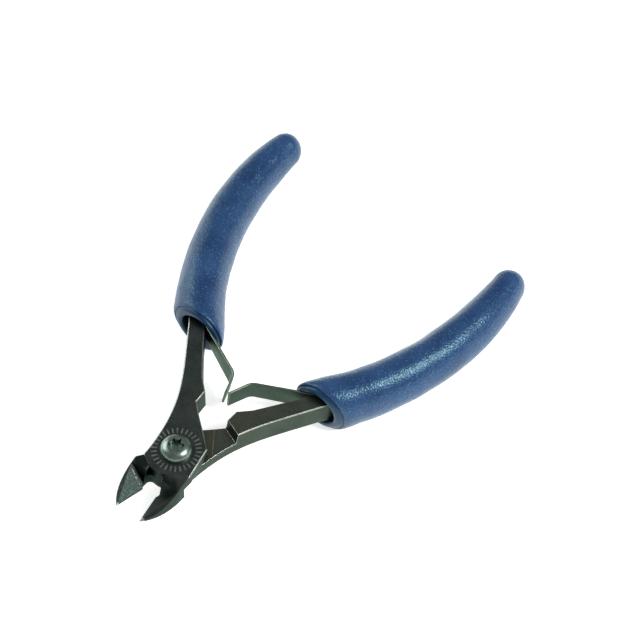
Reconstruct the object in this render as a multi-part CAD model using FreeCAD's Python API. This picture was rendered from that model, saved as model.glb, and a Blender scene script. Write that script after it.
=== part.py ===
import FreeCAD, Part
import math
import os

# Flush cutter with a lap joint, two leaf springs and dipped grips, in millimetres.
# The origin is where the pivot axis leaves the underside of the joint. +X is to the right,
# +Y runs towards the handles, the jaws point along -Y, and +Z is up on the screw's head side.
# The tool is drawn open, with its handles and jaws symmetric about X = 0. The lower half
# carries the right handle and the left jaw. The upper half lies over it at the joint.

V = FreeCAD.Vector

# Steel halves
THICKNESS = 6.35
LAP_PLANE = THICKNESS / 2
LAP_GAP = 0.01
LAP_RADIUS = 7.4
LAP_CLEARANCE = 0.08
HALF_OPENING = 10.5
SHOULDER_DISTANCE = 13.5
SHOULDER_ANGLE = 22.0
SHOULDER_LEAN = 12.0

# Handle's edges, from the joint to the grip's mouth
HANDLE_OUTER_EDGE = [(5.5, -2.4), (6.6, 4.5), (8.6, 10.8), (13.7, 20.2)]
HANDLE_FORK = (2.25, 11.05)
HANDLE_NECK = (4.4, 13.1)
HANDLE_CORNER = (4.6, 16.5)
HANDLE_INNER_START = (7.4, 19.1)
HANDLE_INNER_MIDDLE = (11.25, 24.2)
JOINT_WAIST = 5.3
EDGE_BREAK = 0.2

# Jaws, given for the left one. The plate behind the upper half's jaw is a little wider.
LOWER_PLATE_EDGE = [(-5.0, 4.45), (-6.3, -4.6)]
UPPER_PLATE_EDGE = [(-5.6, 4.35), (-6.95, -3.6)]
JAW_OUTER_EDGE = [(-6.8, -6.8), (-6.6, -10.9), (-5.95, -13.8)]
LOWER_JAW_HEEL = [(-5.2, -5.35), (-8.0, -7.55)]
UPPER_JAW_HEEL = [(-5.5, -5.0), (-8.0, -6.8)]
EDGE_START_RADIUS = 10.58
TIP_RADIUS = 18.5
THROAT_HALF_WIDTH = 2.35
THROAT_CORNER_RADIUS = 1.3
THROAT_END = -9.8
THROAT_FLOOR_END = -8.8
POCKET_REACH = 16.0
JAW_TOP_START = (-7.0, -3.7)
JAW_TOP_HEADING = 31.0
JAW_TOP_FALL = 22.5
JAW_UNDERSIDE_START = -7.5
JAW_UNDERSIDE_RISE = 9.7
EDGE_START_HEIGHT = 0.9
TIP_HEIGHT = 2.05
BEVEL_BACK_OUTER = (-6.4, -8.2, 4.5)
BEVEL_BACK_TOP = (-THROAT_HALF_WIDTH, -8.1, 5.9)
BEVEL_BACK_LOW = (-THROAT_HALF_WIDTH, -9.5, 1.3)

# Pivot screw
SHANK_RADIUS = 2.0
BORE_CLEARANCE = 0.05
HEAD_RADIUS = 3.8
HEAD_HEIGHT = 2.2
HEAD_RIM = 0.35
HEAD_GAP = 0.02
HEAD_CROWN_RADIUS = 2.1
SHANK_END = 0.3
SHANK_CHAMFER = 0.3
CROWN_MIDDLE = (0.86, 0.62)
TORX_OUTER_RADIUS = 1.97
TORX_LOBE_RADIUS = 0.45
TORX_CORE_RADIUS = 1.6
TORX_FLUTE_DISTANCE = 2.05
TORX_DEPTH = 1.5

# Grip: its centre line is an arc about GRIP_CENTRE that starts level with the mouth
GRIP_START = (19.32, 32.68)
GRIP_START_HEADING = 37.0
GRIP_BEND_RADIUS = 72.5
GRIP_LENGTH = 54.9
GRIP_LEAD = 9.0
GRIP_CAP_LENGTH = 4.3
GRIP_CAP_LATITUDES = (0, 20, 38, 54, 67, 77, 85)
GRIP_SECTIONS = 14
GRIP_HALF_WIDTHS = (6.3, 5.8, 5.4, 4.2)
GRIP_HEIGHT_RATIO = 1.19
MOUTH_TAPER = 1.3
MOUTH_PLANE = 30.7
COVER_WALL = 1.3
LINER_SETBACK = 1.2
HOLLOW_WALL = 0.7
HOLLOW_END = 6.0
HOLLOW_SHRINK = 0.8

# Handle's tang inside the grip
TANG_OUTER = 2.2
TANG_INNER = 1.4
TANG_END = 47.0
TANG_ROUNDING = 1.5
TANG_STEP = 0.3
TANG_STEP_DEPTH = 0.8
TANG_OUTER_START = -38.24
TANG_INNER_START = -40.4

# Leaf springs, given for the right one. Their ends meet a little to the left of the middle.
STRIP_THICKNESS = 0.55
STRIP_HEIGHT = 6.0
RIGHT_LEAF_ELBOW = (2.2, 24.9)
RIGHT_LEAF_END = (-0.25, 19.5)
LEFT_LEAF_ELBOW = (2.9, 24.6)
LEFT_LEAF_END = (1.4, 19.5)
RIGHT_LEAF_LEAN = -0.6
LEFT_LEAF_LEAN = 1.2
LEAF_ROOT_DEPTH = 0.9
LEAF_ROOT_GAP = 0.1
LEAF_BEND_RADIUS = 1.2
BASE_START = 0.45
BASE_LENGTH = 8.5
RIVET_DEPTH = 5.0
RIVET_RADIUS = 1.0
RIVET_HEAD_RADIUS = 1.8
RIVET_HEAD_HEIGHT = 0.6
RIVET_HEAD_ROUNDING = 0.36
RIVET_SHANK_LENGTH = 2.6

BROKEN_EDGES = ("handle_outer", "handle_inner", "handle_shoulder", "neck", "fork", "fork_plate", "plate")
FAR = 80.0


def heading(degrees):
    """Unit vector in plan, turned from +Y towards +X."""
    turn = math.radians(degrees)
    return V(math.sin(turn), math.cos(turn), 0)


TANG_INNER_RADIUS = GRIP_BEND_RADIUS - TANG_INNER
GRIP_CENTRE = V(*GRIP_START, 0) - GRIP_BEND_RADIUS * heading(GRIP_START_HEADING + 90)


def about_grip_centre(radius, degrees):
    turn = math.radians(degrees)
    return GRIP_CENTRE + V(radius * math.cos(turn), radius * math.sin(turn), 0)


def grip_angle(distance):
    """Angle about the grip's centre at a distance along its centre line."""
    return -GRIP_START_HEADING + math.degrees(distance / GRIP_BEND_RADIUS)


def plan(point):
    return point if isinstance(point, FreeCAD.Vector) else V(point[0], point[1], 0)


def line(a, b):
    return Part.LineSegment(plan(a), plan(b)).toShape()


def arc(a, middle, b):
    return Part.Arc(plan(a), plan(middle), plan(b)).toShape()


def spline(points):
    curve = Part.BSplineCurve()
    curve.interpolate([plan(p) for p in points])
    return curve.toShape()


def prism(edges, low, high):
    face = Part.Face(Part.Wire(edges))
    solid = face.extrude(V(0, 0, high - low))
    solid.translate(V(0, 0, low))
    return solid


def polygon(points, low, high):
    corners = [plan(p) for p in points]
    return prism([line(a, b) for a, b in zip(corners, corners[1:] + corners[:1])], low, high)


def half_space(point, normal):
    """A large block that fills the side of a plane that its normal points into."""
    block = Part.makeBox(2 * FAR, 2 * FAR, FAR, V(-FAR, -FAR, 0))
    block.Placement = FreeCAD.Placement(point, FreeCAD.Rotation(V(0, 0, 1), normal))
    return block


def mirrored(shape):
    """The same piece on the other side of the tool."""
    return shape.mirror(V(0, 0, 0), V(1, 0, 0))


def joint_point(x):
    """Point on the lap circle's jaw side."""
    return V(x, -math.sqrt(LAP_RADIUS ** 2 - x ** 2), 0)


def jaw_point(radius):
    """Point on the left jaw's cutting edge, which runs radially from the pivot."""
    return -radius * heading(HALF_OPENING)


def throat_corner(throat):
    """Rounded corner between the throat's left wall and the lap circle."""
    on_circle = joint_point(throat.x + THROAT_CORNER_RADIUS)
    on_wall = throat - V(0, THROAT_CORNER_RADIUS, 0)
    middle = (on_circle + on_wall + throat) / 3
    return on_wall, middle, on_circle


def half_outline(plate_edge):
    """Closed plan of the half with the right handle and the left jaw, edge by edge in order."""
    waist = joint_point(JOINT_WAIST)
    corner = throat_corner(joint_point(-THROAT_HALF_WIDTH))
    edge_start = jaw_point(EDGE_START_RADIUS)
    tip = jaw_point(TIP_RADIUS)
    outer_radius = GRIP_BEND_RADIUS + TANG_OUTER
    inner_radius = TANG_INNER_RADIUS
    end_angle = grip_angle(TANG_END)
    middle_angle = end_angle / 2 + TANG_OUTER_START / 2
    outer_start = about_grip_centre(outer_radius, TANG_OUTER_START)
    outer_end = about_grip_centre(outer_radius, end_angle)
    inner_end = about_grip_centre(inner_radius, end_angle)
    inner_start = about_grip_centre(inner_radius, TANG_INNER_START)
    tip_radius = (outer_radius + inner_radius) / 2
    tang_tip = about_grip_centre(tip_radius, grip_angle(TANG_END + TANG_ROUNDING))
    return {
        "handle_outer": spline([waist, *HANDLE_OUTER_EDGE, outer_start]),
        "tang_outer": arc(outer_start, about_grip_centre(outer_radius, middle_angle), outer_end),
        "tang_tip": arc(outer_end, tang_tip, inner_end),
        "tang_inner": arc(inner_end, about_grip_centre(inner_radius, middle_angle), inner_start),
        "handle_inner": arc(inner_start, HANDLE_INNER_MIDDLE, HANDLE_INNER_START),
        "handle_shoulder": line(HANDLE_INNER_START, HANDLE_CORNER),
        "neck": line(HANDLE_CORNER, HANDLE_NECK),
        "fork": line(HANDLE_NECK, HANDLE_FORK),
        "fork_plate": line(HANDLE_FORK, plate_edge[0]),
        "plate": line(plate_edge[0], plate_edge[1]),
        "plate_jaw": line(plate_edge[1], JAW_OUTER_EDGE[0]),
        "jaw_outer": spline([*JAW_OUTER_EDGE, tip]),
        "cutting_edge": line(tip, edge_start),
        "edge_throat": line(edge_start, (-THROAT_HALF_WIDTH, THROAT_END)),
        "throat": line((-THROAT_HALF_WIDTH, THROAT_END), corner[0]),
        "throat_corner": arc(*corner),
        "lap": arc(corner[2], (0, -LAP_RADIUS), waist),
    }


def lap_pocket(jaw_heel):
    """Space over the lower half's lap where the upper half turns, as far as the jaw's heel."""
    low = LAP_PLANE - LAP_GAP
    disc = Part.makeCylinder(LAP_RADIUS + LAP_CLEARANCE, THICKNESS, V(0, 0, low))
    heel = polygon([*jaw_heel, (-POCKET_REACH, jaw_heel[1][1]), (-POCKET_REACH, 0), (0, 0)],
                   low, low + THICKNESS)
    lean = math.radians(SHOULDER_LEAN)
    outward = heading(SHOULDER_ANGLE)
    foot = SHOULDER_DISTANCE * outward + V(0, 0, LAP_PLANE)
    before_shoulder = half_space(foot, V(0, 0, math.sin(lean)) - math.cos(lean) * outward)
    neck = Part.makeBox(2 * POCKET_REACH, 2 * POCKET_REACH, THICKNESS, V(-POCKET_REACH, 0, low))
    neck = neck.common(before_shoulder)
    throat = Part.makeBox(2 * THROAT_HALF_WIDTH, -THROAT_FLOOR_END, THICKNESS,
                          V(-THROAT_HALF_WIDTH, THROAT_FLOOR_END, low))
    return disc.fuse(heel).fuse(neck).fuse(throat)


def tang_steps():
    """The tang is a little thinner than the handle from just inside the grip's mouth."""
    inside = beyond_mouth(TANG_STEP_DEPTH)
    slabs = [Part.makeBox(2 * FAR, 2 * FAR, TANG_STEP, V(-FAR, -FAR, z))
             for z in (0, THICKNESS - TANG_STEP)]
    return [inside.common(slab) for slab in slabs]


def broken_edges(blank, outline):
    """The handle's and plate's edges with a small chamfer, on both faces."""
    middles = [edge.valueAt((edge.FirstParameter + edge.LastParameter) / 2) for edge in outline]
    rims = []
    for edge in blank.Edges:
        point = edge.valueAt((edge.FirstParameter + edge.LastParameter) / 2)
        if any((point - m).Length < EDGE_BREAK or (point - m - V(0, 0, THICKNESS)).Length < EDGE_BREAK
               for m in middles):
            rims.append(edge)
    return blank.makeChamfer(EDGE_BREAK, rims)


def blank_half(plate_edge, jaw_heel):
    outline = half_outline(plate_edge)
    blank = prism(list(outline.values()), 0, THICKNESS)
    broken = [outline[name] for name in BROKEN_EDGES]
    blank = broken_edges(blank, broken).cut(lap_pocket(jaw_heel))
    for step in tang_steps():
        blank = blank.cut(step)
    return blank


def plane_normal(a, b, c):
    """Unit normal of the plane through three points, pointing up."""
    normal = (b - a).cross(c - a)
    normal.normalize()
    return normal if normal.z > 0 else -normal


def jaw_facets():
    """Blocks that grind the left jaw: sloped top, rising underside and the cutting bevel."""
    fall = math.radians(JAW_TOP_FALL)
    towards_tip = -heading(JAW_TOP_HEADING)
    top_normal = V(*(math.sin(fall) * towards_tip)) + V(0, 0, math.cos(fall))
    top = half_space(V(*JAW_TOP_START, THICKNESS), top_normal)

    rise = math.radians(JAW_UNDERSIDE_RISE)
    underside_normal = V(0, -math.sin(rise), -math.cos(rise))
    underside = half_space(V(0, JAW_UNDERSIDE_START, 0), underside_normal)

    edge_start = jaw_point(EDGE_START_RADIUS) + V(0, 0, EDGE_START_HEIGHT)
    tip = jaw_point(TIP_RADIUS) + V(0, 0, TIP_HEIGHT)
    bevel_normal = plane_normal(edge_start, tip, V(*BEVEL_BACK_OUTER))
    back_normal = plane_normal(V(*BEVEL_BACK_OUTER), V(*BEVEL_BACK_TOP), V(*BEVEL_BACK_LOW))
    bevel = half_space(edge_start, bevel_normal).common(half_space(V(*BEVEL_BACK_LOW), back_normal))
    return [top, underside, bevel]


def lower_half():
    """Right handle and left jaw, with the thread for the pivot screw."""
    half = blank_half(LOWER_PLATE_EDGE, LOWER_JAW_HEEL)
    for facet in jaw_facets():
        half = half.cut(facet)
    return half.cut(Part.makeCylinder(SHANK_RADIUS, THICKNESS))


def upper_half():
    """Left handle and right jaw, turning on the screw's shank."""
    half = blank_half(UPPER_PLATE_EDGE, UPPER_JAW_HEEL)
    half.rotate(V(0, 0, LAP_PLANE), V(0, 1, 0), 180)
    for facet in jaw_facets():
        half = half.cut(mirrored(facet))
    return half.cut(Part.makeCylinder(SHANK_RADIUS + BORE_CLEARANCE, THICKNESS))


def torx_recess(top):
    """Six-lobed socket in the screw's head."""
    socket = Part.makeCylinder(TORX_CORE_RADIUS, TORX_DEPTH, V(0, 0, top - TORX_DEPTH))
    lobe_centre = TORX_OUTER_RADIUS - TORX_LOBE_RADIUS
    for i in range(6):
        centre = lobe_centre * heading(60 * i)
        lobe = Part.makeCylinder(TORX_LOBE_RADIUS, TORX_DEPTH, centre + V(0, 0, top - TORX_DEPTH))
        socket = socket.fuse(lobe)
    flute_radius = lobe_centre / 2
    for i in range(6):
        centre = TORX_FLUTE_DISTANCE * heading(60 * i + 30)
        flute = Part.makeCylinder(flute_radius, TORX_DEPTH, centre + V(0, 0, top - TORX_DEPTH))
        socket = socket.cut(flute)
    return socket


def pivot_screw():
    """Button-head screw, drawn as a half section turned about its axis."""
    seat = THICKNESS + HEAD_GAP
    top = seat + HEAD_HEIGHT
    rim = seat + HEAD_RIM
    shoulder = V(HEAD_RADIUS, 0, rim)
    crown = V(HEAD_CROWN_RADIUS, 0, top)
    middle = V(HEAD_RADIUS * CROWN_MIDDLE[0], 0, rim + CROWN_MIDDLE[1] * (top - rim))
    chamfer_foot = V(SHANK_RADIUS - SHANK_CHAMFER, 0, SHANK_END)
    chamfer_top = V(SHANK_RADIUS, 0, SHANK_END + SHANK_CHAMFER)
    outline = [
        line(V(0, 0, SHANK_END), chamfer_foot),
        line(chamfer_foot, chamfer_top),
        line(chamfer_top, V(SHANK_RADIUS, 0, seat)),
        line(V(SHANK_RADIUS, 0, seat), V(HEAD_RADIUS, 0, seat)),
        line(V(HEAD_RADIUS, 0, seat), shoulder),
        arc(shoulder, middle, crown),
        line(crown, V(0, 0, top)),
        line(V(0, 0, top), V(0, 0, SHANK_END)),
    ]
    body = Part.Face(Part.Wire(outline)).revolve(V(0, 0, 0), V(0, 0, 1), 360)
    return body.cut(torx_recess(top))


def grip_half_width(distance):
    """Smooth curve through the four half widths, drawn in towards the mouth and steady past the end."""
    share = 3 * min(max(distance, 0), GRIP_LENGTH) / GRIP_LENGTH
    total = -MOUTH_TAPER * (min(distance, 0) / GRIP_LEAD) ** 2
    for i, width in enumerate(GRIP_HALF_WIDTHS):
        weight = 1
        for j in range(4):
            if j != i:
                weight *= (share - j) / (i - j)
        total += weight * width
    return total


def grip_section(distance, inset, shrink):
    """Oval across the grip's centre line."""
    angle = grip_angle(distance)
    turn = math.radians(angle)
    outward = V(math.cos(turn), math.sin(turn), 0)
    forward = V(-math.sin(turn), math.cos(turn), 0)
    full_width = grip_half_width(distance)
    half_width = (full_width - inset) * shrink
    half_height = (full_width * GRIP_HEIGHT_RATIO - inset) * shrink
    oval = Part.Wire(Part.Ellipse(V(0, 0, 0), half_height, half_width).toShape())
    facing = FreeCAD.Rotation(V(0, 0, 1), outward, forward, "ZXY")
    centre = about_grip_centre(GRIP_BEND_RADIUS, angle) + V(0, 0, LAP_PLANE)
    oval.Placement = FreeCAD.Placement(centre, facing)
    return oval


def grip_form(inset):
    """Solid grip with a rounded end, everywhere one inset inside the finished surface."""
    run = (GRIP_LENGTH + GRIP_LEAD) / GRIP_SECTIONS
    body = [grip_section(i * run - GRIP_LEAD, inset, 1) for i in range(GRIP_SECTIONS + 1)]
    cap_length = GRIP_CAP_LENGTH - inset
    cap = []
    for degrees in GRIP_CAP_LATITUDES:
        turn = math.radians(degrees)
        cap.append(grip_section(GRIP_LENGTH + cap_length * math.sin(turn), inset, math.cos(turn)))
    return Part.makeLoft(body, True, False).fuse(Part.makeLoft(cap, True, False))


def beyond_mouth(depth):
    """Everything deeper into the grips than a depth below their mouths."""
    return half_space(V(0, MOUTH_PLANE + depth, 0), V(0, 1, 0))


def grip_cover():
    """Outer skin of the right grip."""
    return grip_form(0).cut(grip_form(COVER_WALL)).common(beyond_mouth(0))


def liner_hollow():
    """Tapered hollow in the liner's mouth, round the handle."""
    first = grip_section(-GRIP_LEAD, COVER_WALL + HOLLOW_WALL, 1)
    last = grip_section(HOLLOW_END, COVER_WALL + HOLLOW_WALL, HOLLOW_SHRINK)
    return Part.makeLoft([first, last], True, True)


def grip_liner(held_pieces):
    """Inner dipped layer between the right tang and its cover, cut round the pieces that it holds."""
    liner = grip_form(COVER_WALL).common(beyond_mouth(LINER_SETBACK)).cut(liner_hollow())
    for piece in held_pieces:
        liner = liner.cut(piece)
    return liner


def leaf_root():
    """Where the leaf's middle leaves the handle's inner face, just inside the mouth."""
    radius = TANG_INNER_RADIUS - STRIP_THICKNESS / 2 - LEAF_ROOT_GAP
    return about_grip_centre(radius, TANG_INNER_START + math.degrees(LEAF_ROOT_DEPTH / radius))


def strip_outline(points, z):
    """Closed wire round a thin strip that follows points, with square ends."""
    sides = []
    for i, point in enumerate(points):
        ahead = points[min(i + 1, len(points) - 1)] - points[max(i - 1, 0)]
        side = V(-ahead.y, ahead.x, 0)
        side.normalize()
        sides.append(side * (STRIP_THICKNESS / 2))
    left = [p + side + V(0, 0, z) for p, side in zip(points, sides)]
    right = [p - side + V(0, 0, z) for p, side in zip(points, sides)]
    corners = left + right[::-1]
    return Part.Wire([Part.LineSegment(a, b).toShape() for a, b in zip(corners, corners[1:] + corners[:1])])


def leaf_line(elbow, free_end, lean):
    """Middle of the leaf at one height, moved sideways by its lean everywhere but at the root."""
    elbow = plan(elbow) + lean
    end = plan(free_end) + lean
    back = (leaf_root() - elbow).normalize()
    on = (end - elbow).normalize()
    bend = [elbow + LEAF_BEND_RADIUS * back, elbow + LEAF_BEND_RADIUS * on]
    shoulder = (bend[0] + bend[1]) / 4 + elbow / 2
    return [leaf_root(), bend[0], shoulder, bend[1], end]


def spring_leaf(elbow, free_end, lean):
    """Free part of the right spring: long arm, elbow and short leg, its lower edge out by the lean."""
    half_height = STRIP_HEIGHT / 2
    offset = V(lean / 2, 0, 0)
    bottom = strip_outline(leaf_line(elbow, free_end, offset), LAP_PLANE - half_height)
    top = strip_outline(leaf_line(elbow, free_end, -offset), LAP_PLANE + half_height)
    return Part.makeLoft([bottom, top], True, True)


def spring_base():
    """Fixed part of the right spring, flat on the tang's inner face."""
    outer = TANG_INNER_RADIUS
    inner = outer - STRIP_THICKNESS
    start = TANG_INNER_START + math.degrees((LEAF_ROOT_DEPTH + BASE_START) / outer)
    end = start + math.degrees(BASE_LENGTH / outer)
    middle = (start + end) / 2
    low = LAP_PLANE - STRIP_HEIGHT / 2
    corners = [about_grip_centre(radius, angle) for radius in (inner, outer) for angle in (start, end)]
    edges = [
        arc(corners[0], about_grip_centre(inner, middle), corners[1]),
        line(corners[1], corners[3]),
        arc(corners[3], about_grip_centre(outer, middle), corners[2]),
        line(corners[2], corners[0]),
    ]
    return prism(edges, low, low + STRIP_HEIGHT)


def rivet_axis():
    """Point on the spring base's free face and the direction into the tang."""
    radius = TANG_INNER_RADIUS - STRIP_THICKNESS
    angle = TANG_INNER_START + math.degrees((LEAF_ROOT_DEPTH + RIVET_DEPTH) / radius)
    turn = math.radians(angle)
    return about_grip_centre(radius, angle) + V(0, 0, LAP_PLANE), V(math.cos(turn), math.sin(turn), 0)


def rivet_shank():
    point, inward = rivet_axis()
    return Part.makeCylinder(RIVET_RADIUS, RIVET_SHANK_LENGTH, point, inward)


def spring_rivet():
    """Rivet that holds the spring base to the tang."""
    point, inward = rivet_axis()
    head = Part.makeCylinder(RIVET_HEAD_RADIUS, RIVET_HEAD_HEIGHT, point - RIVET_HEAD_HEIGHT * inward, inward)
    rim = [e for e in head.Edges if abs((e.CenterOfMass - point).dot(inward) + RIVET_HEAD_HEIGHT) < 0.01]
    head = head.makeFillet(RIVET_HEAD_ROUNDING, rim[:1])
    return head.fuse(rivet_shank()).removeSplitter()


def build():
    """All pieces by name."""
    half = lower_half().cut(rivet_shank())
    rivet = spring_rivet()
    base = spring_base().cut(rivet)
    side_pieces = {
        "spring_base": base,
        "spring_rivet": rivet,
        "grip_liner": grip_liner([half, base, rivet]),
        "grip_cover": grip_cover(),
    }
    pieces = {
        "lower_half": half,
        "upper_half": upper_half().cut(mirrored(rivet_shank())),
        "pivot_screw": pivot_screw(),
        "right_spring_leaf": spring_leaf(RIGHT_LEAF_ELBOW, RIGHT_LEAF_END, RIGHT_LEAF_LEAN),
        "left_spring_leaf": mirrored(spring_leaf(LEFT_LEAF_ELBOW, LEFT_LEAF_END, LEFT_LEAF_LEAN)),
    }
    for name, piece in side_pieces.items():
        pieces["right_" + name] = piece
        pieces["left_" + name] = mirrored(piece)
    return pieces


os.makedirs("parts", exist_ok=True)
for name, piece in build().items():
    print(name, piece.ShapeType, len(piece.Solids), "valid", piece.isValid(), round(piece.Volume, 2))
    piece.exportStep("parts/" + name + ".step")
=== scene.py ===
import math

import bpy
import numpy as np
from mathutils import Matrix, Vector


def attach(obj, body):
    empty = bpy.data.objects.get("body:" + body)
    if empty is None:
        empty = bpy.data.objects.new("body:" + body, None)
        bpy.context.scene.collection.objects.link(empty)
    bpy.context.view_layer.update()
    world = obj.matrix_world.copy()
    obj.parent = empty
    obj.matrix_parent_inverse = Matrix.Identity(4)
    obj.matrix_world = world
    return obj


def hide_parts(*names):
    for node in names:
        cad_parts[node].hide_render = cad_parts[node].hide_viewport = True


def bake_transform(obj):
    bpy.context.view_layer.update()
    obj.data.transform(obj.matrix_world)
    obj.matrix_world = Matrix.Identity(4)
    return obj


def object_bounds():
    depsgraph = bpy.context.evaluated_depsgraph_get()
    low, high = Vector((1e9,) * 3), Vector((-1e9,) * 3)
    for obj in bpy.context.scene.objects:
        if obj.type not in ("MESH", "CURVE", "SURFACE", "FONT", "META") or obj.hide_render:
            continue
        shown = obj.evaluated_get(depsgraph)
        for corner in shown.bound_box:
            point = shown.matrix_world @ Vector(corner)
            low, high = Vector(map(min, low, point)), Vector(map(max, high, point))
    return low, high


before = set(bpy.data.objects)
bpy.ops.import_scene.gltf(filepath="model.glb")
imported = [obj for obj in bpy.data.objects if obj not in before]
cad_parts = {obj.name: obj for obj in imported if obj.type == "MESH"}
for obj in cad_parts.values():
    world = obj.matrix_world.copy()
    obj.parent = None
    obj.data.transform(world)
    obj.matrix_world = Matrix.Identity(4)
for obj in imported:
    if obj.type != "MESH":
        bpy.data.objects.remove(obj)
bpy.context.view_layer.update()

# Flush cutter. The frame's origin is at the pivot's underside, +Y runs to the handles and +Z
# is up. Places and lengths in this script are in millimetres, and MM turns them into metres.

MM = 0.001
MIDDLE_HEIGHT = 3.175
TOP_HEIGHT = 2 * MIDDLE_HEIGHT
SIDE_BODY = {"right": "lower_half", "left": "upper_half"}

# Grip: an arc about GRIP_CENTRE, as the CAD grips have. Its half widths stand at even steps
# along its length.
GRIP_CENTRE = (-38.582, 76.316)
GRIP_RADIUS = 72.5
GRIP_START_TURN = -37.0
GRIP_LENGTH = 54.9
GRIP_LEAD = 9.0
GRIP_CAP = 4.3
GRIP_HALF_WIDTHS = (6.3, 5.8, 5.4, 4.2)
GRIP_HEIGHT_RATIO = 1.19
THINNEST = 0.05
MOUTH_TAPER = 1.3
MOUTH_PLANE = 30.7

# Rows from the mouth inwards, as (depth behind the mouth plane, inset from the outer surface)
COVER_LIP = [(5.2, 2.3), (2.2, 2.0), (1.1, 1.5), (0.65, 1.06), (0.4, 0.86), (0.24, 0.6), (0.22, 0.4),
             (0.32, 0.22), (0.6, 0.1), (1.1, 0.03), (2.0, 0.0)]
LINER_LIP = [(6.7, 3.6), (4.2, 3.35), (2.2, 3.1), (0.8, 2.86), (-0.05, 2.6), (-0.5, 2.28), (-0.7, 1.9),
             (-0.72, 1.5), (-0.56, 1.12), (-0.25, 0.88), (0.2, 0.74), (0.8, 0.8), (1.6, 1.1), (3.7, 1.7)]

# Search along the grip for where its surface passes a depth: two ends and how often it halves
SEARCH_START = -GRIP_LEAD - 4
SEARCH_END = 30.0
HALVINGS = 40

# How finely the grips are divided: round the section, from the lip to the body, along the body
# and over the rounded end (in degrees of latitude)
SECTION_POINTS = 128
BODY_START = 4.0
LEAD_ROWS = 10
BODY_ROWS = 90
CAP_LATITUDES = [8, 16, 24, 32, 40, 48, 56, 64, 71, 77, 82, 86, 88.5]

# Pebble: gentle lumps of the dipped skin, drawn in so that the grip stays inside its CAD solid
PEBBLE_WAVES = 40
PEBBLE_LENGTHS = (4.9, 11.2)
PEBBLE_SEEDS = {"right": 11, "left": 12}
PEBBLE_HEIGHT = 0.035
SKIN_INSET = 0.13
PEBBLE_START = 1
PEBBLE_FADE = 3

# Springs: the centre line of the bent strip, both given as on the right side. The lean is how
# far a strip's bottom edge stands outwards from its top edge.
STRIP_THICKNESS = 0.55
STRIP_HEIGHT = 6.0
STRIP_EASE = 0.12
STRIP_ROWS = 9
STRIP_SHARP_ANGLE = 35
TANG_INNER_RADIUS = 71.1
TANG_INNER_TURN = -40.4
LEAF_ROOT_DEPTH = 0.9
LEAF_ROOT_GAP = 0.1
BASE_LENGTH = 8.9
ROOT_BEND = 0.9
ELBOW_BEND = 1.3
SPRINGS = {
    "right": {"elbow": (2.2, 24.9), "end": (-0.25, 19.5), "lean": -0.6,
              "bodies": ("lower_half", "right_leaf")},
    "left": {"elbow": (2.9, 24.6), "end": (1.4, 19.5), "lean": 1.2,
             "bodies": ("upper_half", "left_leaf")},
}

# Marks on the steel halves. The painted edge highlights of the lower half reach past the jaw tips.
PLATE_FRONT = -4.5
PAST_THE_TIPS = -30
RIGHT_TIP = (3.4, -18.1, 2.1)
LEFT_TIP = (-3.4, -18.1, 2.1)
TICKS = 30
TICK_INNER = 4.5
TICK_OUTER = 5.9
LAP_WEAR = {"start": (2.4, 10.9), "end": (6.7, 4.6), "height": MIDDLE_HEIGHT}
BEVEL_GRAINS = {"start": (-4.2, -9.5), "end": (-3.2, -17.0), "width": 2.0,
                "colour": (0.034, 0.050, 0.043)}
BEVEL_BACK_GRAINS = {"start": (-6.2, -8.95), "end": (-2.3, -10.6), "width": 0.1,
                     "colour": (0.2, 0.22, 0.19)}

# Painted shade: dark patches in the throat, on the jaws and in the screw's socket
LOWER_SHADE_PATCHES = [
    {"centre": (-0.3, -8.0, 3.0), "radius": 2.9, "on_flats": True},
    {"centre": (-4.6, -12.5, 3.5), "radius": 5.5, "strength": 0.93},
    {"centre": (-4.6, -6.8, 5.8), "radius": 2.2, "strength": 0.95, "on_flats": True, "roughness": 0.75},
]
UPPER_SHADE_PATCHES = [
    {"centre": (0.0, -8.0, 4.5), "radius": 3.2},
    {"centre": (4.2, -8.4, 4.6), "radius": 2.4, "strength": 0.8},
    {"centre": (4.4, -13.0, 3.5), "radius": 5.5, "strength": 0.4},
]
SOCKET_SHADE = {"centre": (0, 0, TOP_HEIGHT + 1.0), "radius": 1.1}

# Colours, linear. The two tints are what metal and vinyl reflect at a shallow angle. The gain and
# the warm shift turn a steel's light tone into that of its bright specks and of its stains.
SPECK_GAIN = 1.7
WARM_SHIFT = (1.15, 0.98, 0.82)
STEEL_TINT = (0.58, 0.64, 0.6)
VINYL_TINT = (0.5, 0.88, 0.93)
VINYL_SHEEN = (0.25, 0.75, 0.85)
# Painted shade: the dark green that the steel's walls are darkened towards
STEEL_WALL_SHADE = (0.022, 0.04, 0.028)
# Painted highlight on sharp edges: on the halves, and dimmer on the springs
EDGE_HIGHLIGHT_STEEL = (0.55, 0.58, 0.52)
EDGE_HIGHLIGHT_STRIP = (0.42, 0.5, 0.38)
# Painted shade: the colour of the dark patches in hollows
PAINTED_SHADE = (0.010, 0.015, 0.014)
# Painted highlight on the eased edges (chamfers)
CHAMFER_HIGHLIGHT = (0.5, 0.53, 0.47)
ETCHED_STEEL = (0.36, 0.37, 0.33)
TIP_STEEL = (0.45, 0.52, 0.42)
RUB_LINE = (0.36, 0.35, 0.3)
BROWN_STAIN = (0.15, 0.13, 0.085)
# Painted glints and painted pit shade on the vinyl's pebble cells
VINYL_GLINT = (0.06, 0.18, 0.31)
VINYL_PIT_SHADE = (0.002, 0.008, 0.045)

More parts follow.
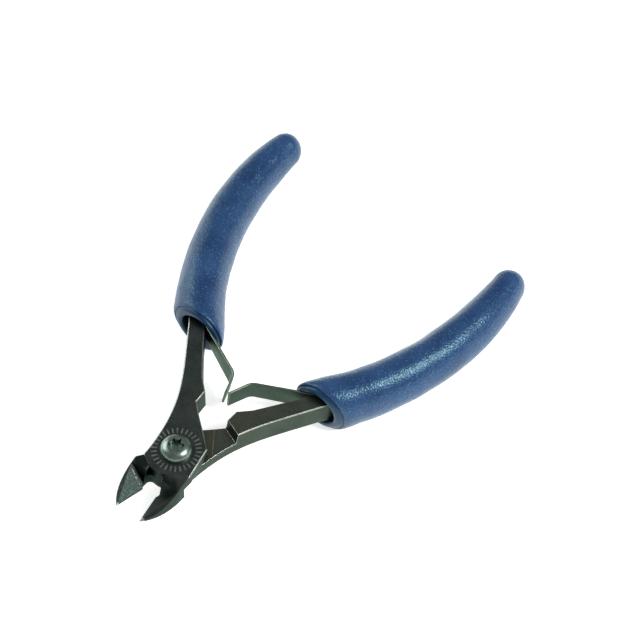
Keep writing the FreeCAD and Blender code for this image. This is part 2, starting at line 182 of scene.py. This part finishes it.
# Noises, as (cycles in a metre, detail, roughness), and the vinyl's cells in a metre
LAY = (900, 4, 0.6)
CLOUD = (170, 4, 0.62)
SPECK = (2600, 2, 0.5)
STAIN = (60, 2, 0.5)
EDGE_HIGHLIGHT_BREAKS = (420, 3, 0.6)
SHADE_RIM = (600, 3, 0.6)
GRAIN = (3600, 2, 0.6)
CHAMFER_PATCHES = (300, 3, 0.6)
ETCH_PATCHES = (1500, 3, 0.6)
LINE_WAVER = (500, 3, 0.6)
LINE_PATCHES = (1300, 3, 0.6)
PLATING_CLOUD = (500, 4, 0.6)
PLATING_GRAIN = (3500, 3, 0.5)
VINYL_LUMP = (900, 3, 0.6)
VINYL_CLOUD = (110, 3, 0.55)
LINER_CLOUD = (260, 3, 0.55)
LINER_GRAIN = (1500, 3, 0.5)
VINYL_CELLS = 2100

# Studio
CAMERA_AZIMUTH = 37.16
CAMERA_ELEVATION = 56.384
CAMERA_DISTANCE = 815.688
CAMERA_TARGET = (3.413, 50.085, MIDDLE_HEIGHT)
CAMERA_LENS = 194.04
CAMERA_SENSOR = 36
CAMERA_NEAR = 50
CAMERA_FAR = 10000
FLOOR_REACH = 3000
LIGHT_TARGET = (3, 50, 0)
LIGHTS = {
    "key": {"place": (680, 200, 720), "size": (260, 340), "power": 10.0},
    "fill": {"place": (-950, -100, 500), "size": (800, 800), "power": 7.0},
}
SKY = (0.93, 1.0, 0.97)
SKY_STRENGTH = 0.3


# ---------- shape helpers ----------

def make_mesh(name, vertices, faces, smooth=True):
    """Object in the scene from vertices in metres and faces."""
    mesh = bpy.data.meshes.new(name)
    mesh.from_pydata([tuple(v) for v in vertices], [], faces)
    mesh.validate()
    mesh.update()
    for polygon in mesh.polygons:
        polygon.use_smooth = smooth
    piece = bpy.data.objects.new(name, mesh)
    bpy.context.scene.collection.objects.link(piece)
    return piece


def ring_faces(rows, columns):
    """Quads between closed rings of vertices."""
    faces = []
    for r in range(rows - 1):
        for c in range(columns):
            a = r * columns + c
            b = r * columns + (c + 1) % columns
            faces.append((a, b, b + columns, a + columns))
    return faces


def mirror_x(points):
    """Points of the left side from those of the right."""
    return points * np.array([-1, 1, 1])


def arc_point(radius, turn):
    """Point in plan on an arc about the grip's centre, at a turn in radians."""
    return [GRIP_CENTRE[0] + radius * math.cos(turn), GRIP_CENTRE[1] + radius * math.sin(turn)]


# ---------- grips ----------

def grip_half_width(distance):
    """Half width of the grip in plan at distances along its centre line."""
    share = 3 * np.clip(distance, 0, GRIP_LENGTH) / GRIP_LENGTH
    total = -MOUTH_TAPER * (np.minimum(distance, 0) / GRIP_LEAD) ** 2
    for i, width in enumerate(GRIP_HALF_WIDTHS):
        weight = np.ones_like(share)
        for j in range(len(GRIP_HALF_WIDTHS)):
            if j != i:
                weight = weight * (share - j) / (i - j)
        total = total + weight * width
    return total


def grip_surface(distance, turn, inset):
    """Points of the right grip's oval section: turn is the angle round the centre line."""
    width = grip_half_width(distance)
    half_width = np.maximum(width - inset, THINNEST)
    half_height = np.maximum(width * GRIP_HEIGHT_RATIO - inset, THINNEST)
    cap = np.clip((distance - GRIP_LENGTH) / (GRIP_CAP - inset * (distance > GRIP_LENGTH)), 0, 1)
    shrink = np.sqrt(np.maximum(1 - cap ** 2, 0))
    radius = GRIP_RADIUS + half_width * shrink * np.cos(turn)
    angle = np.radians(GRIP_START_TURN) + distance / GRIP_RADIUS
    x = GRIP_CENTRE[0] + radius * np.cos(angle)
    y = GRIP_CENTRE[1] + radius * np.sin(angle)
    z = MIDDLE_HEIGHT + half_height * shrink * np.sin(turn)
    return np.stack([x, y, z], -1)


def distance_at_depth(depth, turn, inset):
    """How far along the centre line the surface lies at a depth behind the mouth's plane."""
    low = np.full_like(turn, SEARCH_START)
    high = np.full_like(turn, SEARCH_END)
    for _ in range(HALVINGS):
        middle = (low + high) / 2
        behind = grip_surface(middle, turn, inset)[:, 1] > MOUTH_PLANE + depth
        high = np.where(behind, middle, high)
        low = np.where(behind, low, middle)
    return (low + high) / 2


def lip_rings(lip, turn):
    """Rings of a grip's mouth, one for each row of its lip."""
    rings = []
    for depth, inset in lip:
        along = distance_at_depth(depth, turn, inset)
        rings.append(grip_surface(along, turn, inset))
    return rings


def finish_rings(name, rings, side, flip):
    """Piece from rings of points, closed past the last ring and mirrored for the left side.

    Flip turns its faces round, so that they look outwards when the rings run from the mouth.
    """
    columns = len(rings[0])
    points = np.concatenate(rings)
    faces = ring_faces(len(rings), columns)
    last = len(points) - columns
    points = np.vstack([points, rings[-1].mean(0)])
    tip = len(points) - 1
    faces += [(last + c, last + (c + 1) % columns, tip) for c in range(columns)]
    if side == "left":
        points = mirror_x(points)
    if flip != (side == "left"):
        faces = [f[::-1] for f in faces]
    return make_mesh(name, points * MM, faces)


def pebble(points, seed):
    """Height of the skin's lumps at each point, as a sum of waves in random directions."""
    rng = np.random.default_rng(seed)
    waves = rng.normal(size=(PEBBLE_WAVES, 3))
    waves /= np.linalg.norm(waves, axis=1)[:, None]
    phases = rng.uniform(0, 2 * np.pi, PEBBLE_WAVES)
    lengths = rng.uniform(*PEBBLE_LENGTHS, PEBBLE_WAVES)
    total = np.zeros(len(points))
    for wave, phase, length in zip(waves, phases, lengths):
        total += np.sin(points @ wave * 2 * np.pi / length + phase)
    return total / np.sqrt(PEBBLE_WAVES / 2)


def pebble_skin(cover, side):
    """Moves a cover's vertices along their normals, by nothing at the mouth."""
    places = np.array([v.co for v in cover.data.vertices]) / MM
    normals = np.array([v.normal for v in cover.data.vertices])
    body = np.clip((places[:, 1] - MOUTH_PLANE - PEBBLE_START) / PEBBLE_FADE, 0, 1)
    shift = pebble(places, PEBBLE_SEEDS[side]) * PEBBLE_HEIGHT - SKIN_INSET
    moved = places + normals * (shift * body)[:, None]
    for vertex, place in zip(cover.data.vertices, moved):
        vertex.co = Vector(place) * MM
    cover.data.update()


def grip_cover(side):
    """Outer dipped skin: hollow behind its lip, long oval body and rounded end."""
    turn = np.linspace(0, 2 * np.pi, SECTION_POINTS, endpoint=False)
    rings = lip_rings(COVER_LIP, turn)
    start = distance_at_depth(COVER_LIP[-1][0], turn, 0.0)
    level = float(start.max()) + BODY_START
    for share in np.linspace(0, 1, LEAD_ROWS)[1:]:
        rings.append(grip_surface(start + (level - start) * share, turn, 0.0))
    for distance in np.linspace(level, GRIP_LENGTH, BODY_ROWS)[1:]:
        rings.append(grip_surface(np.full_like(turn, distance), turn, 0.0))
    for latitude in np.radians(CAP_LATITUDES):
        reach = GRIP_LENGTH + GRIP_CAP * math.sin(latitude)
        rings.append(grip_surface(np.full_like(turn, reach), turn, 0.0))
    cover = finish_rings(side + "_cover_skin", rings, side, flip=True)
    pebble_skin(cover, side)
    return cover


def grip_liner(side):
    """Inner dipped layer: rounded bead in the mouth and the hollow that the tang goes into."""
    turn = np.linspace(0, 2 * np.pi, SECTION_POINTS, endpoint=False)
    rings = lip_rings(LINER_LIP, turn)
    return finish_rings(side + "_liner_skin", rings[::-1], side, flip=False)


def build_grips(cover_material, liner_material):
    """Both layers of both grips, each riding on the half that it is dipped onto."""
    for side, body in SIDE_BODY.items():
        cover = grip_cover(side)
        cover.data.materials.append(cover_material)
        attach(cover, body)
        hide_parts(side + "_grip_cover")
        liner = grip_liner(side)
        liner.data.materials.append(liner_material)
        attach(liner, body)
        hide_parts(side + "_grip_liner")


# ---------- springs ----------

def leaf_root():
    """Point in plan where the right spring leaves its grip and starts to flex."""
    radius = TANG_INNER_RADIUS - STRIP_THICKNESS / 2 - LEAF_ROOT_GAP
    turn = math.radians(TANG_INNER_TURN) + LEAF_ROOT_DEPTH / radius
    return np.array(arc_point(radius, turn))


def round_bend(back, corner, on, reach, steps):
    """Points of a smooth bend that leaves and joins its two straight runs at a reach."""
    a = corner + (back - corner) / np.linalg.norm(back - corner) * reach
    b = corner + (on - corner) / np.linalg.norm(on - corner) * reach
    shares = np.linspace(0, 1, steps)[:, None]
    return (1 - shares) ** 2 * a + 2 * shares * (1 - shares) * corner + shares ** 2 * b


def spring_path(elbow, end, lean):
    """Centre line in plan, from inside the grip to the free end, moved by its lean past the root.

    The straight runs stop short of the bends that join them.
    """
    root = leaf_root()
    radius = TANG_INNER_RADIUS - STRIP_THICKNESS / 2
    first = math.radians(TANG_INNER_TURN) + LEAF_ROOT_DEPTH / radius
    base = np.array([arc_point(radius, first + share * BASE_LENGTH / radius)
                     for share in np.linspace(1, 0.12, 8)])
    elbow = np.array(elbow) + (lean, 0)
    end = np.array(end) + (lean, 0)
    bend_in = round_bend(base[-1], root, elbow, ROOT_BEND, 6)
    arm = elbow + (root - elbow) * np.linspace(0.9, 0.12, 10)[:, None]
    bend = round_bend(root, elbow, end, ELBOW_BEND, 11)
    leg = elbow + (end - elbow) * np.linspace(0.36, 1, 5)[:, None]
    return np.vstack([base, bend_in, arm, bend, leg])


def strip_side(path, offset):
    """The path moved sideways by an offset."""
    ahead = np.gradient(path, axis=0)
    side = np.stack([-ahead[:, 1], ahead[:, 0]], -1)
    side /= np.linalg.norm(side, axis=1)[:, None]
    return path + side * offset


def strip_section():
    """The strip's section with eased corners, as (offset from the path, height from the middle)."""
    half = STRIP_THICKNESS / 2
    tall = STRIP_HEIGHT / 2
    ease = STRIP_EASE
    heights = np.linspace(-tall, tall, STRIP_ROWS)[1:-1]
    section = [(-half, -tall + ease), (-half + ease, -tall), (half - ease, -tall), (half, -tall + ease)]
    section += [(half, z) for z in heights]
    section += [(half, tall - ease), (half - ease, tall), (-half + ease, tall), (-half, tall - ease)]
    section += [(-half, z) for z in heights[::-1]]
    return section


def spring(side):
    """One bent strip: its eased section swept along the path."""
    facts = SPRINGS[side]
    lines = []
    for offset, height in strip_section():
        lean = -facts["lean"] * height / STRIP_HEIGHT
        line = strip_side(spring_path(facts["elbow"], facts["end"], lean), offset)
        lines.append(np.column_stack([line, np.full(len(line), MIDDLE_HEIGHT + height)]))
    rings = np.stack(lines, axis=1)
    rows, columns, _ = rings.shape
    points = rings.reshape(-1, 3)
    faces = ring_faces(rows, columns)
    faces.append(tuple(range(columns))[::-1])
    faces.append(tuple((rows - 1) * columns + c for c in range(columns)))
    if side == "left":
        points = mirror_x(points)
        faces = [f[::-1] for f in faces]
    piece = make_mesh(side + "_leaf_spring", points * MM, faces)
    piece.data.set_sharp_from_angle(angle=math.radians(STRIP_SHARP_ANGLE))
    return piece


def build_springs(material):
    """Both springs, each built in place of its CAD base and leaf, which are hidden."""
    root = leaf_root()
    for side, facts in SPRINGS.items():
        strip = spring(side)
        strip.data.materials.append(material)
        sign = 1 if side == "right" else -1
        place = Vector((sign * root[0], root[1], MIDDLE_HEIGHT)) * MM
        reach = Vector((sign * facts["elbow"][0], facts["elbow"][1], MIDDLE_HEIGHT)) * MM - place
        reach.normalize()
        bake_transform(strip)
        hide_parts(side + "_spring_base", side + "_spring_leaf")


# ---------- shader nodes ----------

class Nodes:
    """A material in the making: adds shader nodes and links them.

    A value is a number, a colour of three parts or another node's output.
    """

    def __init__(self, name):
        self.material = bpy.data.materials.new(name)
        self.material.use_nodes = True
        self.tree = self.material.node_tree
        self.shader = self.tree.nodes["Principled BSDF"]

    def add(self, kind):
        return self.tree.nodes.new(kind)

    def link(self, source, target):
        self.tree.links.new(source, target)

    def feed(self, value, socket):
        """Sets a socket to a number or a colour, or links an output to it."""
        if isinstance(value, (int, float)):
            socket.default_value = value
        elif isinstance(value, tuple):
            socket.default_value = (*value, 1)
        else:
            self.link(value, socket)

    def surface(self, **values):
        """Feeds the shader: Base_Color=... goes to its Base Color."""
        for name, value in values.items():
            self.feed(value, self.shader.inputs[name.replace("_", " ")])

    def place(self):
        """Position on the piece, in metres."""
        return self.add("ShaderNodeTexCoord").outputs["Object"]

    def stretched_place(self, scale, turn):
        """Position turned about Z and scaled along each axis, for a noise with a direction."""
        mapping = self.add("ShaderNodeMapping")
        mapping.inputs["Scale"].default_value = scale
        mapping.inputs["Rotation"].default_value = (0, 0, turn)
        self.link(self.place(), mapping.inputs["Vector"])
        return mapping.outputs["Vector"]

    def split(self, vector):
        """The three parts of a vector."""
        parts = self.add("ShaderNodeSeparateXYZ")
        self.link(vector, parts.inputs[0])
        return parts.outputs

    def noise(self, vector, grain):
        """Noise between 0 and 1, of one of the named grains."""
        node = self.add("ShaderNodeTexNoise")
        for name, value in zip(("Scale", "Detail", "Roughness"), grain):
            node.inputs[name].default_value = value
        self.link(vector, node.inputs["Vector"])
        return node.outputs["Fac"]

    def ramp(self, source, low, dark, high, light):
        """Colour that runs from dark at a low value to light at a high one."""
        node = self.add("ShaderNodeValToRGB")
        for element, position, colour in zip(node.color_ramp.elements, (low, high), (dark, light)):
            element.position = position
            element.color = (*colour, 1)
        self.link(source, node.inputs["Fac"])
        return node.outputs["Color"]

    def calc(self, operation, a, b=0):
        """Result of one of the math node's operations."""
        node = self.add("ShaderNodeMath")
        node.operation = operation
        for value, socket in zip((a, b), node.inputs):
            self.feed(value, socket)
        return node.outputs[0]

    def product(self, first, *others):
        for other in others:
            first = self.calc("MULTIPLY", first, other)
        return first

    def span(self, source, low, high, out_low, out_high):
        """Stretches low to high onto out_low to out_high, and holds the ends beyond them."""
        node = self.add("ShaderNodeMapRange")
        for name, value in zip(("From Min", "From Max", "To Min", "To Max"), (low, high, out_low, out_high)):
            node.inputs[name].default_value = value
        self.link(source, node.inputs["Value"])
        return node.outputs["Result"]

    def band(self, source, low, high, soft):
        """One between two limits, falling to nothing over a soft width outside them."""
        rise = self.span(source, low - soft, low + soft, 0, 1)
        fall = self.span(source, high - soft, high + soft, 1, 0)
        return self.calc("MULTIPLY", rise, fall)

    def mix(self, share, a, b):
        """Colour between a and b."""
        node = self.add("ShaderNodeMix")
        node.data_type = "RGBA"
        # Its sockets repeat the same names for numbers, vectors and colours, so places tell them apart
        for value, socket in zip((share, a, b), (node.inputs[0], node.inputs[6], node.inputs[7])):
            self.feed(value, socket)
        return node.outputs[2]

    def bump(self, height, strength, depth, normal=None):
        """Normal bumped by a height, over a depth in millimetres."""
        node = self.add("ShaderNodeBump")
        node.inputs["Strength"].default_value = strength
        node.inputs["Distance"].default_value = depth * MM
        self.link(height, node.inputs["Height"])
        if normal is not None:
            self.link(normal, node.inputs["Normal"])
        return node.outputs["Normal"]

    def distance(self, place, centre):
        """Distance of a position from a point given in millimetres."""
        node = self.add("ShaderNodeVectorMath")
        node.operation = "DISTANCE"
        self.link(place, node.inputs[0])
        node.inputs[1].default_value = [c * MM for c in centre]
        return node.outputs["Value"]

    def line_offsets(self, place, start, end):
        """How far a position lies to the left of a line in plan, and how far along it."""
        x, y, _ = self.split(place)
        ahead = Vector((end[0] - start[0], end[1] - start[1])).normalized()
        offsets = []
        for way in (Vector((-ahead.y, ahead.x)), ahead):
            reach = self.calc("ADD", self.product(x, way.x), self.product(y, way.y))
            offsets.append(self.calc("SUBTRACT", reach, way.dot(Vector(start)) * MM))
        return offsets

    def behind(self, start):
        """One on the handle's side of a line across the tool, at a Y given in millimetres."""
        _, y, _ = self.split(self.place())
        return self.span(y, (start - 0.3) * MM, (start + 0.3) * MM, 0, 1)

    def upward(self):
        """How far the surface faces up or down: 1 for flat faces, 0 for walls."""
        _, _, z = self.split(self.add("ShaderNodeNewGeometry").outputs["Normal"])
        return self.calc("ABSOLUTE", z)

    def edges(self, width):
        """Normal rounded at sharp edges over a width, and how far it leaves the flat one there."""
        bevel = self.add("ShaderNodeBevel")
        bevel.samples = 6
        bevel.inputs["Radius"].default_value = width * MM
        plain = self.add("ShaderNodeNewGeometry")
        dot = self.add("ShaderNodeVectorMath")
        dot.operation = "DOT_PRODUCT"
        self.link(bevel.outputs["Normal"], dot.inputs[0])
        self.link(plain.outputs["Normal"], dot.inputs[1])
        return bevel.outputs["Normal"], self.span(dot.outputs["Value"], 0.998, 0.93, 0.0, 1.0)


# ---------- marks laid over a finish ----------

def tint(n, share, colour):
    """Lays a colour over a finish's base colour where the share is high."""
    socket = n.shader.inputs["Base Color"]
    below = socket.links[0].from_socket
    n.link(n.mix(share, below, colour), socket)


def matt(n, share, roughness):
    """Takes a finish's roughness to a new one where the share is high."""
    socket = n.shader.inputs["Roughness"]
    below = socket.links[0].from_socket
    kept = n.product(below, n.calc("SUBTRACT", 1, share))
    n.link(n.calc("ADD", kept, n.product(share, roughness)), socket)


def paint_shade(n, centre, radius, strength=0.88, on_flats=False, roughness=None):
    """Painted shade in a hollow: a dark patch fading out past a radius, kept off the flat faces unless
    on_flats is set.
    """
    place = n.place()
    ragged = n.product(n.noise(place, SHADE_RIM), 1.2 * MM)
    away = n.calc("ADD", n.distance(place, centre), ragged)
    share = n.span(away, radius * MM, (radius + 1.6) * MM, strength, 0.0)
    if not on_flats:
        share = n.product(share, n.span(n.upward(), 0.94, 0.99, 1.0, 0.0))
    tint(n, share, PAINTED_SHADE)
    if roughness is not None:
        matt(n, share, roughness)


def grains(n, start, end, width, colour):
    """Coarse grains left by the grinding on sloped faces, within a width of a line in plan."""
    place = n.place()
    across, along = n.line_offsets(place, start, end)
    beside = n.band(across, -width * MM, width * MM, 0.1 * MM)
    between = n.band(along, 0.2 * MM, (math.dist(start, end) - 0.2) * MM, 0.2 * MM)
    sloped = n.span(n.upward(), 0.97, 0.99, 1.0, 0.0)
    grain = n.span(n.noise(place, GRAIN), 0.5, 0.62, 0.0, 1.0)
    tint(n, n.product(beside, between, sloped, grain), colour)


def chamfer_highlights(n, start):
    """Painted highlight on the handle's and plate's eased edges, the faces of middling tilt, on the handle's
    side of a line.
    """
    eased = n.band(n.upward(), 0.62, 0.78, 0.02)
    patch = n.span(n.noise(n.place(), CHAMFER_PATCHES), 0.3, 0.6, 0.3, 0.9)
    tint(n, n.product(eased, n.behind(start), patch), CHAMFER_HIGHLIGHT)


def ticks(n):
    """Ring of short etched ticks round the pivot, on the upper half's top face."""
    place = n.place()
    x, y, z = n.split(place)
    radius = n.calc("SQRT", n.calc("ADD", n.product(x, x), n.product(y, y)))
    share = n.calc("FRACT", n.product(n.calc("ARCTAN2", y, x), TICKS / (2 * math.pi)))
    inside = n.band(radius, TICK_INNER * MM, TICK_OUTER * MM, 0.12 * MM)
    across = n.band(share, 0.34, 0.62, 0.06)
    top = n.span(z, (TOP_HEIGHT - 0.05) * MM, (TOP_HEIGHT - 0.02) * MM, 0, 1)
    patch = n.span(n.noise(place, ETCH_PATCHES), 0.3, 0.6, 0.35, 1.0)
    tint(n, n.product(inside, across, top, patch), ETCHED_STEEL)


def bright_tip(n, centre, radius, strength):
    """Lightened patch at a jaw's point."""
    away = n.distance(n.place(), centre)
    tint(n, n.span(away, radius * MM, (radius + 0.5) * MM, strength, 0.0), TIP_STEEL)


def wear_line(n, start, end, height):
    """Thin bright rub mark along a line at one height, and the brown stain beside it."""
    place = n.place()
    _, _, z = n.split(place)
    across, _ = n.line_offsets(place, start, end)
    across = n.calc("ADD", across, n.product(n.noise(place, LINE_WAVER), 0.2 * MM))
    level = n.band(z, (height - 0.1) * MM, (height + 0.1) * MM, 0.05 * MM)
    stained = n.product(n.band(across, -1.5 * MM, 0.1 * MM, 0.4 * MM), level, 0.5)
    tint(n, stained, BROWN_STAIN)
    patch = n.span(n.noise(place, LINE_PATCHES), 0.35, 0.6, 0.25, 1.0)
    rubbed = n.product(n.band(across, 0.02 * MM, 0.18 * MM, 0.06 * MM), level, patch)
    tint(n, rubbed, RUB_LINE)


# ---------- finishes ----------

def steel(name, dark, light, lay_turn, roughness, edge=EDGE_HIGHLIGHT_STEEL, highlight_from=PAST_THE_TIPS):
    """Ground and blackened steel: fine lay, cloudy staining, painted shade on the walls, and a painted
    highlight on sharp edges from a Y onwards.
    """
    n = Nodes(name)
    place = n.place()
    lay = n.noise(n.stretched_place((1, 14, 1), lay_turn), LAY)
    speck = n.noise(place, SPECK)
    warm = tuple(c * shift for c, shift in zip(light, WARM_SHIFT))
    bright = tuple(c * SPECK_GAIN for c in light)
    tone = n.mix(n.span(n.noise(place, CLOUD), 0.34, 0.68, 0, 1), dark, light)
    tone = n.mix(n.span(n.noise(place, STAIN), 0.5, 0.75, 0, 0.5), tone, warm)
    tone = n.mix(n.span(speck, 0.6, 0.75, 0, 0.35), tone, bright)
    tone = n.mix(n.span(lay, 0.5, 0.68, 0, 0.4), tone, bright)
    # Painted shade: walls, the faces that point neither up nor down, are darkened towards a dark green
    tone = n.mix(n.span(n.upward(), 0.25, 0.6, 0.5, 0.0), tone, STEEL_WALL_SHADE)
    # Painted highlight: sharp edges, found by the rounded normal, are lightened in broken patches from a Y
    # onwards
    rounded, edge_highlight = n.edges(0.18)
    broken = n.span(n.noise(place, EDGE_HIGHLIGHT_BREAKS), 0.3, 0.5, 0.35, 1.0)
    tone = n.mix(n.product(edge_highlight, broken, n.behind(highlight_from)), tone, edge)
    scratched = n.bump(lay, 0.5, 0.04, rounded)
    n.surface(Base_Color=tone, Metallic=1.0, Specular_Tint=STEEL_TINT,
              Roughness=n.span(lay, 0.3, 0.7, roughness - 0.06, roughness + 0.09),
              Normal=n.bump(speck, 0.25, 0.03, scratched))
    return n


def zinc(name):
    """Satin zinc plating."""
    n = Nodes(name)
    cloud = n.noise(n.place(), PLATING_CLOUD)
    grain = n.noise(n.place(), PLATING_GRAIN)
    rounded, _ = n.edges(0.12)
    n.surface(Base_Color=n.ramp(cloud, 0.3, (0.15, 0.20, 0.175), 0.7, (0.24, 0.3, 0.26)), Metallic=1.0,
              Roughness=n.span(grain, 0.3, 0.7, 0.26, 0.38), Normal=n.bump(grain, 0.15, 0.03, rounded))
    return n


def dipped_cover():
    """Glossy dark blue vinyl with a fine pebble: some cells carry a painted glint (pale), some painted shade
    in their pits (dark).
    """
    n = Nodes("dipped_blue")
    place = n.place()
    cells = n.add("ShaderNodeTexVoronoi")
    cells.inputs["Scale"].default_value = VINYL_CELLS
    n.link(place, cells.inputs["Vector"])
    glint_chance, pit_shade_chance, _ = n.split(cells.outputs["Color"])
    middle = n.span(cells.outputs["Distance"], 0.15, 0.4, 1.0, 0.0)
    lump = n.noise(place, VINYL_LUMP)
    tone = n.ramp(n.noise(place, VINYL_CLOUD), 0.3, (0.010, 0.028, 0.095), 0.72, (0.024, 0.060, 0.160))
    # Painted glints on some cell centres, painted shade in the pits of others
    tone = n.mix(n.product(middle, n.span(glint_chance, 0.3, 0.85, 0.0, 1.0)), tone, VINYL_GLINT)
    tone = n.mix(n.product(middle, n.span(pit_shade_chance, 0.5, 0.8, 0.0, 0.7)), tone, VINYL_PIT_SHADE)
    n.surface(Base_Color=tone, Roughness=n.span(lump, 0.3, 0.7, 0.24, 0.4), IOR=1.5,
              Specular_IOR_Level=0.46, Specular_Tint=VINYL_TINT,
              Sheen_Weight=0.1, Sheen_Roughness=0.4, Sheen_Tint=VINYL_SHEEN,
              Normal=n.bump(cells.outputs["Distance"], 0.6, 0.1, n.bump(lump, 0.35, 0.1)))
    return n.material


def dipped_liner():
    """The inner layer: the same vinyl, duller and smoother."""
    n = Nodes("dipped_inner")
    place = n.place()
    grain = n.noise(place, LINER_GRAIN)
    tone = n.ramp(n.noise(place, LINER_CLOUD), 0.3, (0.003, 0.016, 0.055), 0.7, (0.006, 0.028, 0.085))
    n.surface(Base_Color=tone, Roughness=n.span(grain, 0.3, 0.7, 0.34, 0.5),
              Specular_Tint=VINYL_TINT, Normal=n.bump(grain, 0.3, 0.08))
    return n.material


def lower_steel():
    """The lower half: a little lighter, with its lap's wear and the left jaw's ground bevel."""
    n = steel("ground_steel_lower", (0.075, 0.085, 0.074), (0.11, 0.124, 0.106), math.radians(40), 0.36)
    # Painted shade patches in the throat and on the jaws
    for patch in LOWER_SHADE_PATCHES:
        paint_shade(n, **patch)
    grains(n, **BEVEL_GRAINS)
    grains(n, **BEVEL_BACK_GRAINS)
    chamfer_highlights(n, PLATE_FRONT)
    bright_tip(n, LEFT_TIP, 0.5, 0.3)
    wear_line(n, **LAP_WEAR)
    return n.material


def upper_steel():
    """The upper half: darker, with the etched ticks, and no painted edge highlights on the right jaw."""
    n = steel("ground_steel_upper", (0.05, 0.06, 0.06), (0.08, 0.094, 0.09), math.radians(-30), 0.36,
              highlight_from=PLATE_FRONT)
    # Painted shade patches in the throat and on the jaws
    for patch in UPPER_SHADE_PATCHES:
        paint_shade(n, **patch)
    chamfer_highlights(n, PLATE_FRONT)
    bright_tip(n, RIGHT_TIP, 0.9, 0.8)
    ticks(n)
    return n.material


def screw_zinc():
    """The pivot screw, with painted shade in its socket."""
    n = zinc("satin_zinc")
    paint_shade(n, **SOCKET_SHADE)
    return n.material


def strip_steel():
    """The springs: brushed across, greener and with a dimmer painted edge highlight than the halves."""
    return steel("spring_steel", (0.11, 0.15, 0.12), (0.155, 0.21, 0.17), math.radians(90), 0.34,
                 edge=EDGE_HIGHLIGHT_STRIP).material


def paint_nodes():
    """Gives the carried-over CAD nodes their finishes."""
    rivet = zinc("rivet_zinc").material
    finishes = {"lower_half": lower_steel(), "upper_half": upper_steel(), "pivot_screw": screw_zinc(),
                "right_spring_rivet": rivet, "left_spring_rivet": rivet}
    for name, material in finishes.items():
        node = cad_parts[name]
        node.data.materials.clear()
        node.data.materials.append(material)


# ---------- studio ----------

def add_camera():
    """Long lens, looking down on the tool from in front and to the right."""
    azimuth, elevation = math.radians(CAMERA_AZIMUTH), math.radians(CAMERA_ELEVATION)
    back = Vector((math.sin(azimuth) * math.cos(elevation), -math.cos(azimuth) * math.cos(elevation),
                   math.sin(elevation)))
    data = bpy.data.cameras.new("camera")
    data.lens = CAMERA_LENS
    data.sensor_width = CAMERA_SENSOR
    data.clip_start = CAMERA_NEAR * MM
    data.clip_end = CAMERA_FAR * MM
    camera = bpy.data.objects.new("camera", data)
    camera.location = Vector(CAMERA_TARGET) * MM + back * (CAMERA_DISTANCE * MM)
    camera.rotation_euler = (-back).to_track_quat("-Z", "Y").to_euler()
    bpy.context.scene.collection.objects.link(camera)
    bpy.context.scene.camera = camera


def add_floor():
    """Plain pale floor at the tool's lowest point, glowing a little so that it reads as white."""
    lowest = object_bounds()[0].z
    size = FLOOR_REACH * MM
    corners = [(-size, -size, lowest), (size, -size, lowest), (size, size, lowest), (-size, size, lowest)]
    floor = make_mesh("floor", corners, [(0, 1, 2, 3)], smooth=False)
    n = Nodes("pale_floor")
    n.surface(Base_Color=(0.95, 0.95, 0.95), Roughness=0.9, Specular_IOR_Level=0.1,
              Emission_Color=(1, 1, 1), Emission_Strength=0.6)
    floor.data.materials.append(n.material)


def add_light(name, place, size, power):
    """Soft rectangular lamp aimed at the tool."""
    data = bpy.data.lights.new(name, "AREA")
    data.shape = "RECTANGLE"
    data.size, data.size_y = [s * MM for s in size]
    data.energy = power
    lamp = bpy.data.objects.new(name, data)
    lamp.location = Vector(place) * MM
    lamp.rotation_euler = (Vector(LIGHT_TARGET) - Vector(place)).to_track_quat("-Z", "Y").to_euler()
    bpy.context.scene.collection.objects.link(lamp)


def add_sky():
    """Even, faintly green light from all round."""
    world = bpy.data.worlds.new("studio")
    world.use_nodes = True
    background = world.node_tree.nodes["Background"]
    background.inputs["Color"].default_value = (*SKY, 1)
    background.inputs["Strength"].default_value = SKY_STRENGTH
    bpy.context.scene.world = world


def build():
    """The visual pieces round the CAD nodes, and the studio they stand in."""
    add_camera()
    build_grips(dipped_cover(), dipped_liner())
    build_springs(strip_steel())
    paint_nodes()
    add_floor()
    add_sky()
    for name, facts in LIGHTS.items():
        add_light(name, **facts)
    bpy.context.scene.view_settings.view_transform = "Standard"


build()
